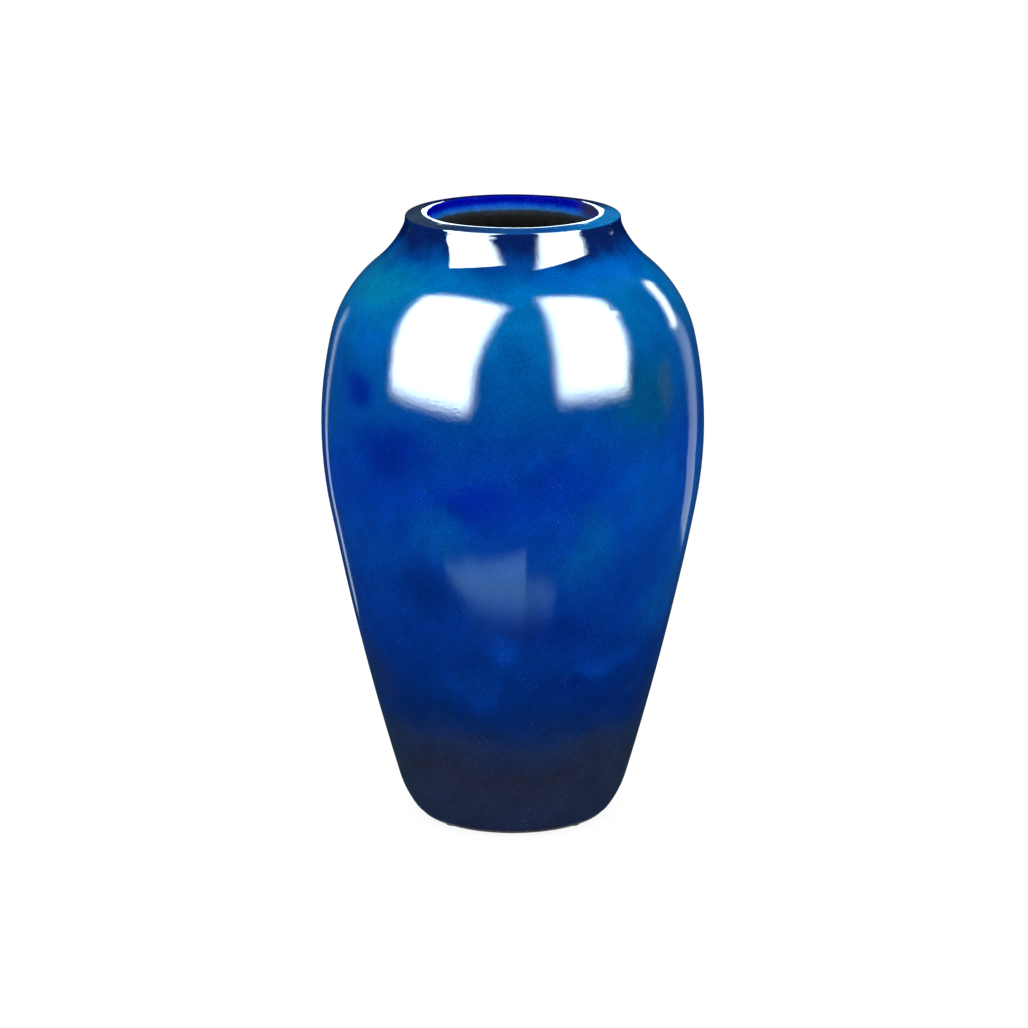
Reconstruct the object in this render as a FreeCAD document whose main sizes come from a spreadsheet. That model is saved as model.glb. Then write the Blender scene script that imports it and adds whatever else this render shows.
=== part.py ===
import FreeCAD, Part
import math
import os

import Sketcher

# A wide-mouthed ovoid vase that stands on a foot ring. Units are millimetres, +Z is up, and the
# origin is the point on the vase's axis at the level it stands on.
#
# The pot is one piece of fired clay. Three coats of glaze are fused to it: a blue one outside, a
# dark one round the foot and a dark liner inside. Four felt discs are stuck under the foot ring.
#
# Every clay and glaze piece is a half section turned about the axis. A section is drawn as a walk
# round the clay, up the outside and down the inside, with the clay on the left.

DIMENSIONS = (
    # name, value, meaning
    ("rim_height", 400.0, "top of the glazed rim"),
    ("glaze", 0.6, "thickness of every coat of glaze"),
    ("wall", 8.0, "thickness of the clay wall"),
    ("belly_radius", 123.3, "widest radius of the clay"),
    ("belly_height", 260.7, "height of the widest level"),
    ("foot_arc", 66.6, "radius of the curve above the foot"),
    ("flank_arc", 2003.4, "radius of the long, nearly straight flank"),
    ("belly_arc", 276.4, "radius of the curve through the belly"),
    ("shoulder_arc", 83.6, "radius of the shoulder's curve"),
    ("neck_arc", 67.4, "radius of the hollow curve of the neck"),
    ("under_lip_arc", 17.0, "radius of the hollow curve under the lip"),
    ("lip_round", 1.4, "rounding of the lip's outer corner"),
    ("crown_arc", 7.4, "radius of the gentle curve over the rim's crown"),
    ("crown_radius", 57.2, "distance of the rim's highest line from the axis"),
    ("crown_inner", 54.8, "radius where the crown ends, inside"),
    ("mouth_round", 0.6, "rounding between the crown and the funnel"),
    ("foot_bevel", 1.0, "height and width of the bevel at the foot's edge"),
    ("bare_height", 3.5, "lower edge of the foot's coat"),
    ("flank_start", 25.8, "height where the foot's curve ends"),
    ("band_height", 75.0, "height where the foot's coat meets the blue one"),
    ("belly_start", 209.4, "height where the flank ends"),
    ("shoulder_start", 321.0, "height where the belly's curve ends"),
    ("neck_start", 367.4, "height where the shoulder ends"),
    ("under_lip_start", 389.9, "height where the neck's curve ends"),
    ("lip_start", 397.0, "height where the lip's rounding starts"),
    ("throat_radius", 51.1, "radius of the glazed throat, the narrowest place"),
    ("throat_top", 392.0, "height of the throat's upper edge"),
    ("throat_bottom", 388.0, "height of the throat's lower edge"),
    ("ring_radius", 49.0, "inner radius of the face the foot ring stands on"),
    ("recess_radius", 47.5, "radius of the recess's ceiling inside the foot ring"),
    ("recess_depth", 4.0, "depth of the recess inside the foot ring"),
    ("floor", 9.0, "thickness of the pot's floor"),
    ("floor_round", 22.0, "rounding between the floor and the wall inside"),
    ("felt_thickness", 1.3, "thickness of a felt disc"),
    ("felt_radius", 5.0, "radius of a felt disc"),
    ("film_thickness", 0.2, "thickness of the adhesive film above a disc"),
    ("film_radius", 4.8, "radius of the adhesive film"),
    ("disc_circle", 55.3, "radius of the circle the discs' centres are on"),
    ("disc_turn", 45.0, "angle from +X to the first disc, in degrees"),
    ("disc_count", 4, "number of felt discs"),
)

FULL_TURN = 360

# Sketcher's own numbers for a sketch's origin, its vertical axis and an arc's centre.
ORIGIN = (-1, 1)
AXIS = -2
CENTRE = 3

# The walk's pieces, in order: up the outside, then down the inside.
OUTSIDE = (
    "foot_low", "foot_high", "flank_low", "flank_high", "belly", "shoulder", "neck", "under_lip",
    "lip", "bevel", "crown", "mouth_edge", "funnel", "throat",
)
INSIDE = ("neck_in", "shoulder_in", "belly_in", "flank_in", "corner_in", "floor_in")
UNDERSIDE = ("recess", "recess_side", "ring_face", "foot_bevel")
UNDER_FOOT_COAT = OUTSIDE[1:3]
UNDER_BLUE_COAT = OUTSIDE[3:]

# These pieces meet the next one of the walk at a corner. All others run into it smoothly.
SHARP_ENDS = ("funnel", "throat", *UNDERSIDE)


def unit(angle):
    return FreeCAD.Vector(math.cos(angle), math.sin(angle), 0)


def normal_angle(centre, radius, height):
    """Angle of the outward normal where an arc reaches a height."""
    return math.asin((height - centre.y) / radius)


def bevel_angle(lower, lower_radius, upper, upper_radius):
    """Angle of the normal of the line that touches two bulges from outside, the lower one first."""
    between = upper - lower
    along = math.atan2(between.y, between.x)
    return along - math.acos((lower_radius - upper_radius) / between.Length)


class Dimensions:
    """The driving dimensions: a spreadsheet, and each of its cells as an attribute."""

    def __init__(self, document):
        self.sheet = document.addObject("Spreadsheet::Sheet", "dims")
        for row, (name, value, meaning) in enumerate(DIMENSIONS, start=1):
            self.sheet.set(f"A{row}", name)
            self.sheet.set(f"B{row}", str(value))
            self.sheet.set(f"C{row}", meaning)
            self.sheet.setAlias(f"B{row}", name)
            setattr(self, name, value)
        document.recompute()


class Section:
    """A body's sketch. In the XZ plane it is a half section: x is the radius and y the height.

    An arc is given by its centre, its radius and the angles of the outward normal at its two
    ends. The radius is positive on a bulge of the clay and negative on a hollow, so a coat adds
    its thickness to either. Pieces that aren't in `solid` are drawn as construction lines.
    """

    def __init__(self, body, solid, plane="XZ_Plane"):
        self.sketch = body.newObject("Sketcher::SketchObject", body.Name + "_section")
        origin_planes = [each for each in body.Origin.OriginFeatures if each.Role == plane]
        self.sketch.AttachmentSupport = (origin_planes[0], [""])
        self.sketch.MapMode = "FlatFace"
        self.solid = solid
        self.pieces = {}

    def draw(self, name, shape, walk, ends):
        number = self.sketch.addGeometry(shape, name not in self.solid)
        self.pieces[name] = {"number": number, "walk": walk, "first": ends[0], "last": ends[1]}

    def line(self, name, start, end):
        self.draw(name, Part.LineSegment(start, end), (start, end), (1, 2))

    def arc(self, name, centre, radius, start, end):
        circle = Part.Circle(centre, FreeCAD.Vector(0, 0, 1), abs(radius))
        if radius > 0:
            shape = Part.ArcOfCircle(circle, start, end)
            ends = (1, 2)
        else:
            shape = Part.ArcOfCircle(circle, end + math.pi, start + math.pi)
            ends = (2, 1)
        self.draw(name, shape, (centre, radius, start, end), ends)

    def number(self, name):
        return self.pieces[name]["number"]

    def first(self, name):
        return self.number(name), self.pieces[name]["first"]

    def last(self, name):
        return self.number(name), self.pieces[name]["last"]

    def centre(self, name):
        return self.number(name), CENTRE

    def constrain(self, kind, *where):
        return self.sketch.addConstraint(Sketcher.Constraint(kind, *where))

    def size(self, label, kind, *where, formula):
        """A constraint with a value that follows a formula of the spreadsheet's cells."""
        value = float(self.sketch.evalExpression(formula))
        index = self.constrain(kind, *where, value)
        self.sketch.renameConstraint(index, label)
        self.sketch.setExpression("Constraints." + label, formula)

    def radius(self, name, formula):
        self.size(name + "_radius", "Radius", self.number(name), formula=formula)

    def out(self, label, point, formula):
        """Holds a point at a distance from the axis."""
        self.size(label + "_out", "DistanceX", *ORIGIN, *point, formula=formula)

    def up(self, label, point, formula):
        """Holds a point at a height above the standing level."""
        self.size(label + "_up", "DistanceY", *ORIGIN, *point, formula=formula)

    def join(self, name, following, mark=""):
        kind = "Coincident" if name in SHARP_ENDS else "Tangent"
        self.constrain(kind, *self.last(name + mark), *self.first(following + mark))

    def join_all(self, names, mark=""):
        for name, following in zip(names, names[1:]):
            self.join(name, following, mark)

    def link(self, name, start, end):
        """A straight piece that closes the section between two points already drawn."""
        ends = [self.sketch.getPoint(*point) for point in (start, end)]
        self.line(name, *ends)
        self.constrain("Coincident", *start, *self.first(name))
        self.constrain("Coincident", *self.last(name), *end)


def draw_outside(section, d):
    """The clay's outside: a chain of arcs from foot to lip, worked out from the belly both ways,
    then the bevelled lip, the crown, the funnel inside it and the short throat."""
    belly = FreeCAD.Vector(d.belly_radius - d.belly_arc, d.belly_height, 0)
    belly_from = normal_angle(belly, d.belly_arc, d.belly_start)
    belly_to = normal_angle(belly, d.belly_arc, d.shoulder_start)
    flank = belly + unit(belly_from) * (d.belly_arc - d.flank_arc)
    flank_from = normal_angle(flank, d.flank_arc, d.flank_start)
    band = normal_angle(flank, d.flank_arc, d.band_height)
    foot = flank + unit(flank_from) * (d.flank_arc - d.foot_arc)
    bevel_top = d.felt_thickness + d.film_thickness + d.foot_bevel
    foot_from = normal_angle(foot, d.foot_arc, bevel_top)
    bare = normal_angle(foot, d.foot_arc, d.bare_height)
    section.arc("foot_low", foot, d.foot_arc, foot_from, bare)
    section.arc("foot_high", foot, d.foot_arc, bare, flank_from)
    section.arc("flank_low", flank, d.flank_arc, flank_from, band)
    section.arc("flank_high", flank, d.flank_arc, band, belly_from)
    section.arc("belly", belly, d.belly_arc, belly_from, belly_to)

    shoulder = belly + unit(belly_to) * (d.belly_arc - d.shoulder_arc)
    shoulder_to = normal_angle(shoulder, d.shoulder_arc, d.neck_start)
    neck = shoulder + unit(shoulder_to) * (d.shoulder_arc + d.neck_arc)
    neck_to = normal_angle(neck, -d.neck_arc, d.under_lip_start)
    under_lip = neck + unit(neck_to) * (d.under_lip_arc - d.neck_arc)
    lip_from = normal_angle(under_lip, -d.under_lip_arc, d.lip_start)
    section.arc("shoulder", shoulder, d.shoulder_arc, belly_to, shoulder_to)
    section.arc("neck", neck, -d.neck_arc, shoulder_to, neck_to)
    section.arc("under_lip", under_lip, -d.under_lip_arc, neck_to, lip_from)

    lip = under_lip - unit(lip_from) * (d.under_lip_arc + d.lip_round)
    crown = FreeCAD.Vector(d.crown_radius, d.rim_height - d.glaze - d.crown_arc, 0)
    throat_top = FreeCAD.Vector(d.throat_radius + d.glaze, d.throat_top, 0)
    throat_bottom = FreeCAD.Vector(d.throat_radius + d.glaze, d.throat_bottom, 0)
    bevel_normal = bevel_angle(lip, d.lip_round, crown, d.crown_arc)
    bevel_start = lip + unit(bevel_normal) * d.lip_round
    bevel_end = crown + unit(bevel_normal) * d.crown_arc
    crown_to = math.acos((d.crown_inner - crown.x) / d.crown_arc)
    edge = crown + unit(crown_to) * (d.crown_arc - d.mouth_round)
    funnel_normal = math.atan2(throat_top.y - edge.y, throat_top.x - edge.x) + 3 * math.pi / 2
    section.arc("lip", lip, d.lip_round, lip_from, bevel_normal)
    section.line("bevel", bevel_start, bevel_end)
    section.arc("crown", crown, d.crown_arc, bevel_normal, crown_to)
    section.arc("mouth_edge", edge, d.mouth_round, crown_to, funnel_normal)
    section.line("funnel", edge + unit(funnel_normal) * d.mouth_round, throat_top)
    section.line("throat", throat_top, throat_bottom)
    size_outside(section)


def size_outside(section):
    section.join_all(OUTSIDE)
    section.constrain("Equal", section.number("foot_low"), section.number("foot_high"))
    section.constrain("Equal", section.number("flank_low"), section.number("flank_high"))
    section.radius("foot_high", "dims.foot_arc")
    section.radius("flank_high", "dims.flank_arc")
    section.radius("belly", "dims.belly_arc")
    section.radius("shoulder", "dims.shoulder_arc")
    section.radius("neck", "dims.neck_arc")
    section.radius("under_lip", "dims.under_lip_arc")
    section.radius("lip", "dims.lip_round")
    section.radius("crown", "dims.crown_arc")
    section.radius("mouth_edge", "dims.mouth_round")

    belly_centre = section.centre("belly")
    section.size("belly_in", "DistanceX", *belly_centre, *ORIGIN,
                 formula="dims.belly_arc - dims.belly_radius")
    section.up("belly", belly_centre, "dims.belly_height")
    section.up("foot_low", section.first("foot_low"),
               "dims.felt_thickness + dims.film_thickness + dims.foot_bevel")
    section.up("foot_high", section.first("foot_high"), "dims.bare_height")
    section.up("flank_low", section.first("flank_low"), "dims.flank_start")
    section.up("flank_high", section.first("flank_high"), "dims.band_height")
    section.up("belly_start", section.first("belly"), "dims.belly_start")
    section.up("shoulder", section.first("shoulder"), "dims.shoulder_start")
    section.up("neck", section.first("neck"), "dims.neck_start")
    section.up("under_lip", section.first("under_lip"), "dims.under_lip_start")
    section.up("lip", section.first("lip"), "dims.lip_start")
    section.out("crown", section.centre("crown"), "dims.crown_radius")
    section.up("crown", section.centre("crown"), "dims.rim_height - dims.glaze - dims.crown_arc")
    section.out("crown_end", section.last("crown"), "dims.crown_inner")
    section.out("throat", section.first("throat"), "dims.throat_radius + dims.glaze")
    section.up("throat_top", section.first("throat"), "dims.throat_top")
    section.up("throat_bottom", section.last("throat"), "dims.throat_bottom")
    section.constrain("Vertical", section.number("throat"))


def draw_inside(section, d):
    """The clay's inside: the outside's shoulder, belly and flank moved in by the wall, closed by
    a hollow curve under the throat above them and by the rounded floor below them."""
    shoulder, shoulder_radius, shoulder_from, _ = section.pieces["shoulder"]["walk"]
    belly, belly_radius, belly_from, belly_to = section.pieces["belly"]["walk"]
    flank, flank_radius, _, _ = section.pieces["flank_high"]["walk"]
    floor_height = d.felt_thickness + d.film_thickness + d.recess_depth + d.floor
    corner_height = floor_height + d.floor_round
    flank_reach = flank_radius - d.wall - d.floor_round
    flank_end = math.asin((corner_height - flank.y) / flank_reach)
    corner = flank + unit(flank_end) * flank_reach
    throat_end = section.pieces["throat"]["walk"][1]

    # A first guess at the neck's end. The sketch's own constraints find the true angle.
    steepest = math.radians(70)
    neck_end = shoulder + unit(steepest) * (shoulder_radius - d.wall)
    neck_radius = (neck_end.x - throat_end.x) / (1 - math.cos(steepest))
    neck = throat_end + FreeCAD.Vector(neck_radius, 0, 0)

    half_turn = math.pi
    section.arc("neck_in", neck, neck_radius, half_turn, half_turn + steepest)
    section.arc("shoulder_in", shoulder, d.wall - shoulder_radius, half_turn + steepest,
                half_turn + shoulder_from)
    section.arc("belly_in", belly, d.wall - belly_radius, half_turn + belly_to,
                half_turn + belly_from)
    section.arc("flank_in", flank, d.wall - flank_radius, half_turn + belly_from,
                half_turn + flank_end)
    section.arc("corner_in", corner, -d.floor_round, half_turn + flank_end, half_turn / 2)
    section.line("floor_in", FreeCAD.Vector(corner.x, floor_height, 0),
                 FreeCAD.Vector(0, floor_height, 0))

    section.join("throat", "neck_in")
    section.constrain("Horizontal", *section.centre("neck_in"), *section.first("neck_in"))
    section.join_all(INSIDE)
    for name in ("shoulder", "belly", "flank"):
        outer = "flank_high" if name == "flank" else name
        section.constrain("Coincident", *section.centre(outer), *section.centre(name + "_in"))
    section.radius("shoulder_in", "dims.shoulder_arc - dims.wall")
    section.radius("corner_in", "dims.floor_round")
    section.constrain("Horizontal", section.number("floor_in"))
    section.constrain("PointOnObject", *section.last("floor_in"), AXIS)
    section.up("floor_in", section.last("floor_in"),
               "dims.felt_thickness + dims.film_thickness + dims.recess_depth + dims.floor")


def draw_underside(section, d):
    """The foot ring and its recess, from the axis out to the foot's bevel."""
    standing = d.felt_thickness + d.film_thickness
    ceiling = standing + d.recess_depth
    bevel_end = section.sketch.getPoint(*section.first("foot_low"))
    corners = (
        FreeCAD.Vector(0, ceiling, 0),
        FreeCAD.Vector(d.recess_radius, ceiling, 0),
        FreeCAD.Vector(d.ring_radius, standing, 0),
        FreeCAD.Vector(bevel_end.x - d.foot_bevel, standing, 0),
        bevel_end,
    )
    for name, start, end in zip(UNDERSIDE, corners, corners[1:]):
        section.line(name, start, end)
    section.join_all((*UNDERSIDE, "foot_low"))
    section.constrain("Horizontal", section.number("recess"))
    section.constrain("Horizontal", section.number("ring_face"))
    section.up("recess", section.first("recess"),
               "dims.felt_thickness + dims.film_thickness + dims.recess_depth")
    section.up("ring_face", section.first("ring_face"),
               "dims.felt_thickness + dims.film_thickness")
    section.out("recess_side", section.first("recess_side"), "dims.recess_radius")
    section.out("ring_face", section.first("ring_face"), "dims.ring_radius")
    section.size("foot_bevel_width", "DistanceX", *section.first("foot_bevel"),
                 *section.last("foot_bevel"), formula="dims.foot_bevel")


def draw_coat(section, names, thickness):
    """Draws each named piece's twin, one coat further out, and joins the twins the same way."""
    for name in names:
        piece = section.pieces[name]
        twin = name + "_coat"
        section.solid.add(twin)
        if len(piece["walk"]) == 2:
            start, end = piece["walk"]
            along = (end - start).normalize()
            lift = FreeCAD.Vector(along.y, -along.x, 0) * thickness
            section.line(twin, start + lift, end + lift)
            section.constrain("Parallel", section.number(name), section.number(twin))
        else:
            centre, radius, start, end = piece["walk"]
            section.arc(twin, centre, radius + thickness, start, end)
            section.constrain("Coincident", *section.centre(name), *section.centre(twin))
    section.join_all(names, "_coat")


def cap(section, name, start, end, direction):
    section.solid.add(name)
    section.link(name, start, end)
    section.constrain(direction, section.number(name))


def revolve(document, body, section):
    document.recompute()
    if section.sketch.solve() != 0 or section.sketch.DoF != 0:
        raise RuntimeError(f"{section.sketch.Name} isn't fully constrained")
    turned = body.newObject("PartDesign::Revolution", body.Name + "_turned")
    turned.Profile = section.sketch
    turned.ReferenceAxis = (section.sketch, ["V_Axis"])
    turned.Angle = FULL_TURN
    document.recompute()


def make_stoneware_body(document, d):
    """The pot itself: foot ring, floor, wall and thick bevelled lip."""
    body = document.addObject("PartDesign::Body", "stoneware_body")
    section = Section(body, set(OUTSIDE + INSIDE + UNDERSIDE))
    draw_outside(section, d)
    draw_inside(section, d)
    draw_underside(section, d)
    cap(section, "axis", section.last("floor_in"), section.first("recess"), "Vertical")
    revolve(document, body, section)
    return body


def make_blue_glaze(document, d):
    """The blue coat: from the dark band up over the lip and down to the throat's lower edge."""
    body = document.addObject("PartDesign::Body", "blue_glaze")
    section = Section(body, set(UNDER_BLUE_COAT))
    draw_outside(section, d)
    draw_coat(section, UNDER_BLUE_COAT, d.glaze)
    section.radius("flank_high_coat", "dims.flank_arc + dims.glaze")
    section.out("throat_coat", section.last("throat_coat"), "dims.throat_radius")
    cap(section, "band_edge", section.first("flank_high"), section.first("flank_high_coat"),
        "Horizontal")
    cap(section, "throat_edge", section.last("throat"), section.last("throat_coat"), "Horizontal")
    revolve(document, body, section)
    return body


def make_foot_glaze(document, d):
    """The dark band round the foot, from just above the bare rim up to the blue coat."""
    body = document.addObject("PartDesign::Body", "foot_glaze")
    section = Section(body, set(UNDER_FOOT_COAT))
    draw_outside(section, d)
    draw_coat(section, UNDER_FOOT_COAT, d.glaze)
    section.radius("foot_high_coat", "dims.foot_arc + dims.glaze")
    cap(section, "bare_edge", section.first("foot_high"), section.first("foot_high_coat"),
        "Horizontal")
    cap(section, "band_edge", section.last("flank_low"), section.last("flank_low_coat"),
        "Horizontal")
    revolve(document, body, section)
    return body


def make_liner_glaze(document, d):
    """The watertight coat inside: from under the throat down the wall and across the floor."""
    body = document.addObject("PartDesign::Body", "liner_glaze")
    section = Section(body, set(INSIDE))
    draw_outside(section, d)
    draw_inside(section, d)
    draw_coat(section, INSIDE, d.glaze)
    section.out("neck_in_coat", section.first("neck_in_coat"), "dims.throat_radius")
    cap(section, "throat_edge", section.first("neck_in"), section.first("neck_in_coat"),
        "Horizontal")
    cap(section, "axis", section.last("floor_in"), section.last("floor_in_coat"), "Vertical")
    revolve(document, body, section)
    return body


def make_discs(document, d, name, radius, thickness, level):
    """A ring of equal discs under the foot ring. The last three are names of dimensions, and
    `level` is the dimension that the discs' lower faces are raised by, or None on the ground."""
    body = document.addObject("PartDesign::Body", name)
    body.AllowCompound = True
    section = Section(body, {"disc"}, plane="XY_Plane")
    if level:
        section.sketch.setExpression("AttachmentOffset.Base.z", "dims." + level)
    centre = unit(math.radians(d.disc_turn)) * d.disc_circle
    circle = Part.Circle(centre, FreeCAD.Vector(0, 0, 1), getattr(d, radius))
    section.line("spoke", FreeCAD.Vector(0, 0, 0), centre)
    section.draw("disc", circle, (centre, circle.Radius), (CENTRE, CENTRE))
    section.constrain("Coincident", *ORIGIN, *section.first("spoke"))
    section.constrain("Coincident", *section.last("spoke"), *section.centre("disc"))
    section.size("disc_place", "Distance", section.number("spoke"), formula="dims.disc_circle")
    section.size("disc_turn", "Angle", section.number("spoke"), formula="dims.disc_turn * 1 deg")
    section.radius("disc", "dims." + radius)
    disc = body.newObject("PartDesign::Pad", name + "_disc")
    disc.Profile = section.sketch
    disc.setExpression("Length", "dims." + thickness)
    document.recompute()
    ring = body.newObject("PartDesign::PolarPattern", name + "_ring")
    ring.Originals = [disc]
    ring.Axis = (section.sketch, ["N_Axis"])
    ring.Angle = FULL_TURN
    ring.setExpression("Occurrences", "dims.disc_count")
    body.Tip = ring
    document.recompute()
    return body


def check(document, bodies):
    for item in document.Objects:
        if "Invalid" in item.State or "Error" in item.State:
            raise RuntimeError(f"{item.Name} failed: {item.State}")
    for body in bodies:
        if body.Shape.isNull() or not body.Shape.isValid() or not body.Shape.Solids:
            raise RuntimeError(f"{body.Label} has no valid solid")


def main():
    document = FreeCAD.newDocument("vase")
    d = Dimensions(document)
    bodies = [
        make_stoneware_body(document, d),
        make_blue_glaze(document, d),
        make_foot_glaze(document, d),
        make_liner_glaze(document, d),
        make_discs(document, d, "felt_pads", "felt_radius", "felt_thickness", None),
        make_discs(document, d, "pad_adhesive", "film_radius", "film_thickness", "felt_thickness"),
    ]
    document.recompute()
    check(document, bodies)
    os.makedirs("parts", exist_ok=True)
    for body in bodies:
        body.Shape.exportStep(f"parts/{body.Label}.step")
        box = body.Shape.optimalBoundingBox()
        print(f"{body.Label}: {len(body.Shape.Solids)} solid(s), {body.Shape.Volume / 1000:.1f} cm3, "
              f"z {box.ZMin:.2f} to {box.ZMax:.2f}, radius {box.XMax:.2f}")


main()
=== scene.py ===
"""Looks of the glazed stoneware vase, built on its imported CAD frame.

The size and place of every piece come from the frame. The clay pot and its glaze coats are turned again from
the CAD's own cross-sections, finely divided, with the slight unevenness of a thrown and dipped pot. Lengths
are in metres, unless a comment says mm. The azimuth, in degrees, is 0 towards the camera (-Y) and grows
towards +X. The vase's colours are written as they look on a screen, 0 to 255.
"""
import math

import bmesh
import bpy
import numpy as np
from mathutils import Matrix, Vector


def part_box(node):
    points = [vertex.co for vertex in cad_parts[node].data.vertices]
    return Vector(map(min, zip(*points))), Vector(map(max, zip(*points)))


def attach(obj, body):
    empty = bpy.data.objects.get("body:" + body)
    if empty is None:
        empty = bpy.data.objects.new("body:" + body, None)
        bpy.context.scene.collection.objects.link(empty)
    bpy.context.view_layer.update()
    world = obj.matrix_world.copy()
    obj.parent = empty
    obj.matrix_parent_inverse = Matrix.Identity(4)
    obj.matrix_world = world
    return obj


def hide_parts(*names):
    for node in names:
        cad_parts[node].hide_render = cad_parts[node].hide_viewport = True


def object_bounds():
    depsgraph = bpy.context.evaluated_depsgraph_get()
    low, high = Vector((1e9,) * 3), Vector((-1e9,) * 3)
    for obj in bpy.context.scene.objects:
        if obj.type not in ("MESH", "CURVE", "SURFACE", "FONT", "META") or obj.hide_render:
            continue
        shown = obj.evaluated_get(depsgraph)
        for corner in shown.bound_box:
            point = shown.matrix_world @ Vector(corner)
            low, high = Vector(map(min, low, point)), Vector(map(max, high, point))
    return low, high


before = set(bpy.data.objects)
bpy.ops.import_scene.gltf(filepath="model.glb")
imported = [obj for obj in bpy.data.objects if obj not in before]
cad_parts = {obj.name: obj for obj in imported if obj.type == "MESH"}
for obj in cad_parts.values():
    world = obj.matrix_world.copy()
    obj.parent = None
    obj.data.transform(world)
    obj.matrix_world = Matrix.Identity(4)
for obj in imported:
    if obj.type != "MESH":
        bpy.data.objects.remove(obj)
cad_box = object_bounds()

MM = 0.001
WELD = 1e-6                     # points closer than this are one point
TOP = cad_box[1].z              # height of the rim's crest
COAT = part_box("blue_glaze")[1].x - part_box("stoneware_body")[1].x      # thickness of a glaze coat

AROUND = 256                    # divisions of a turned piece
SEEN_STEP = 2.2 * MM            # longest step along an outline where the glaze is seen
HIDDEN_STEP = 8 * MM            # and where it lies against the clay
SHARP = math.radians(40)        # edges that turn more than this are real edges

# How the outline of a CAD node is read
STRAIGHT = math.radians(0.05)   # a point at which it turns less than this lies in a straight stretch
ARC_TURN = math.radians(20)     # the most that it turns at a point inside an arc
ARC_SPACING = 0.01              # how much the spacing of the points inside an arc may differ, as a share
FINE_TURN = math.radians(5)     # the most that a refined arc turns in one step

# --------------------------------------------------------------------------------------------------
# Cross-sections of the CAD nodes
# --------------------------------------------------------------------------------------------------


def outline(node):
    """The node's cross-section beside its axis: (radius, height) points in order.

    A turned node has its seam in the half plane y = 0, x > 0. A solid node's outline starts and ends on the
    axis, and a coat's is a closed ring of points.
    """
    mesh = bmesh.new()
    mesh.from_mesh(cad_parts[node].data)
    bmesh.ops.remove_doubles(mesh, verts=mesh.verts, dist=WELD)
    everything = mesh.verts[:] + mesh.edges[:] + mesh.faces[:]
    cut = bmesh.ops.bisect_plane(mesh, geom=everything, dist=WELD, plane_co=(0, 0, 0), plane_no=(0, 1, 0))
    near = {}
    for edge in cut["geom_cut"]:
        if isinstance(edge, bmesh.types.BMEdge) and min(vert.co.x for vert in edge.verts) > WELD:
            for vert in edge.verts:
                near.setdefault(vert, []).append(edge.other_vert(vert))
    ends = [vert for vert in near if len(near[vert]) == 1]
    walk = [min(ends or near, key=lambda vert: vert.co.z)]
    while True:
        onward = [vert for vert in near[walk[-1]] if vert not in walk]
        if not onward:
            break
        walk.append(onward[0])
    points = [np.array((vert.co.x, vert.co.z)) for vert in walk]
    if ends:
        points = [points[0] * (0, 1)] + points + [points[-1] * (0, 1)]
    mesh.free()
    return without_inline(points, closed=not ends)


def angle_between(first, second):
    """The signed angle from one direction to another, in radians."""
    return math.atan2(first[0] * second[1] - first[1] * second[0], first @ second)


def bend(before, point, after):
    """How far the outline turns at a point, in radians."""
    return angle_between(point - before, after - point)


def without_inline(points, closed):
    """The points at which the outline turns, and its two ends if it is open."""
    kept = []
    for i, point in enumerate(points):
        at_end = not closed and i in (0, len(points) - 1)
        if at_end or abs(bend(points[i - 1], point, points[(i + 1) % len(points)])) > STRAIGHT:
            kept.append(point)
    return kept


def arc_centre(before, point, after):
    """Centre of the arc that a point lies inside of, or None.

    The points inside an arc of a CAD node are evenly spaced, and turn a little each.
    """
    into = np.linalg.norm(point - before)
    out = np.linalg.norm(after - point)
    angle = bend(before, point, after)
    if abs(into - out) > ARC_SPACING * into or abs(angle) > ARC_TURN:
        return None
    # Half a chord, over the sine of half the angle that it spans
    radius = (into + out) / 4 / math.sin(angle / 2)
    along = (after - before) / np.linalg.norm(after - before)
    return point + radius * np.array((-along[1], along[0]))


def refine(points, step):
    """The same open outline with more points: round stretches stay round, straight ones stay straight."""
    centres = [None] + [arc_centre(*points[i - 1:i + 2]) for i in range(1, len(points) - 1)] + [None]
    fine = [points[0]]
    for i, (start, end) in enumerate(zip(points, points[1:])):
        # A stretch is round if one of its ends lies inside an arc
        centre = centres[i] if centres[i] is not None else centres[i + 1]
        length = np.linalg.norm(end - start)
        if centre is None:
            count = max(1, math.ceil(length / step))
            fine += [start + (end - start) * k / count for k in range(1, count + 1)]
            continue
        first = start - centre
        swept = angle_between(first, end - centre)
        count = max(1, math.ceil(length / step), math.ceil(abs(swept) / FINE_TURN))
        for k in range(1, count + 1):
            angle = swept * k / count
            rotation = np.array(((math.cos(angle), -math.sin(angle)), (math.sin(angle), math.cos(angle))))
            fine.append(centre + rotation @ first)
    return fine


def coat_sides(node):
    """A coat's two sides as open outlines from the lowest point up, the one nearer the axis first.

    They are parted at the coat's flat edges, which are about as long as the coat is thick. A coat that runs
    to the axis has one edge only.
    """
    ring = outline(node)
    closed = ring[0][0] > WELD
    if closed:
        ring = ring + [ring[0]]
    edges = []
    for i, (start, end) in enumerate(zip(ring, ring[1:])):
        if abs(start[1] - end[1]) < WELD and np.linalg.norm(end - start) < 2 * COAT:
            edges.append(i)
    if closed:
        first, second = edges
        sides = [ring[first + 1:second + 1], ring[second + 1:-1] + ring[:first + 1]]
    else:
        sides = [ring[:edges[0] + 1], ring[edges[0] + 1:]]
    sides = [side if side[0][1] < side[-1][1] else side[::-1] for side in sides]
    return sorted(sides, key=lambda side: max(point[0] for point in side))


def outside():
    """The outline of the vase's outside, from the foot to the crest of the rim: heights and radii."""
    side = np.array(coat_sides("foot_glaze")[1] + coat_sides("blue_glaze")[1])
    crest = side[:, 1].argmax()
    return side[:crest + 1, 1], side[:crest + 1, 0]


# --------------------------------------------------------------------------------------------------
# Turned pieces
# --------------------------------------------------------------------------------------------------


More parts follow.
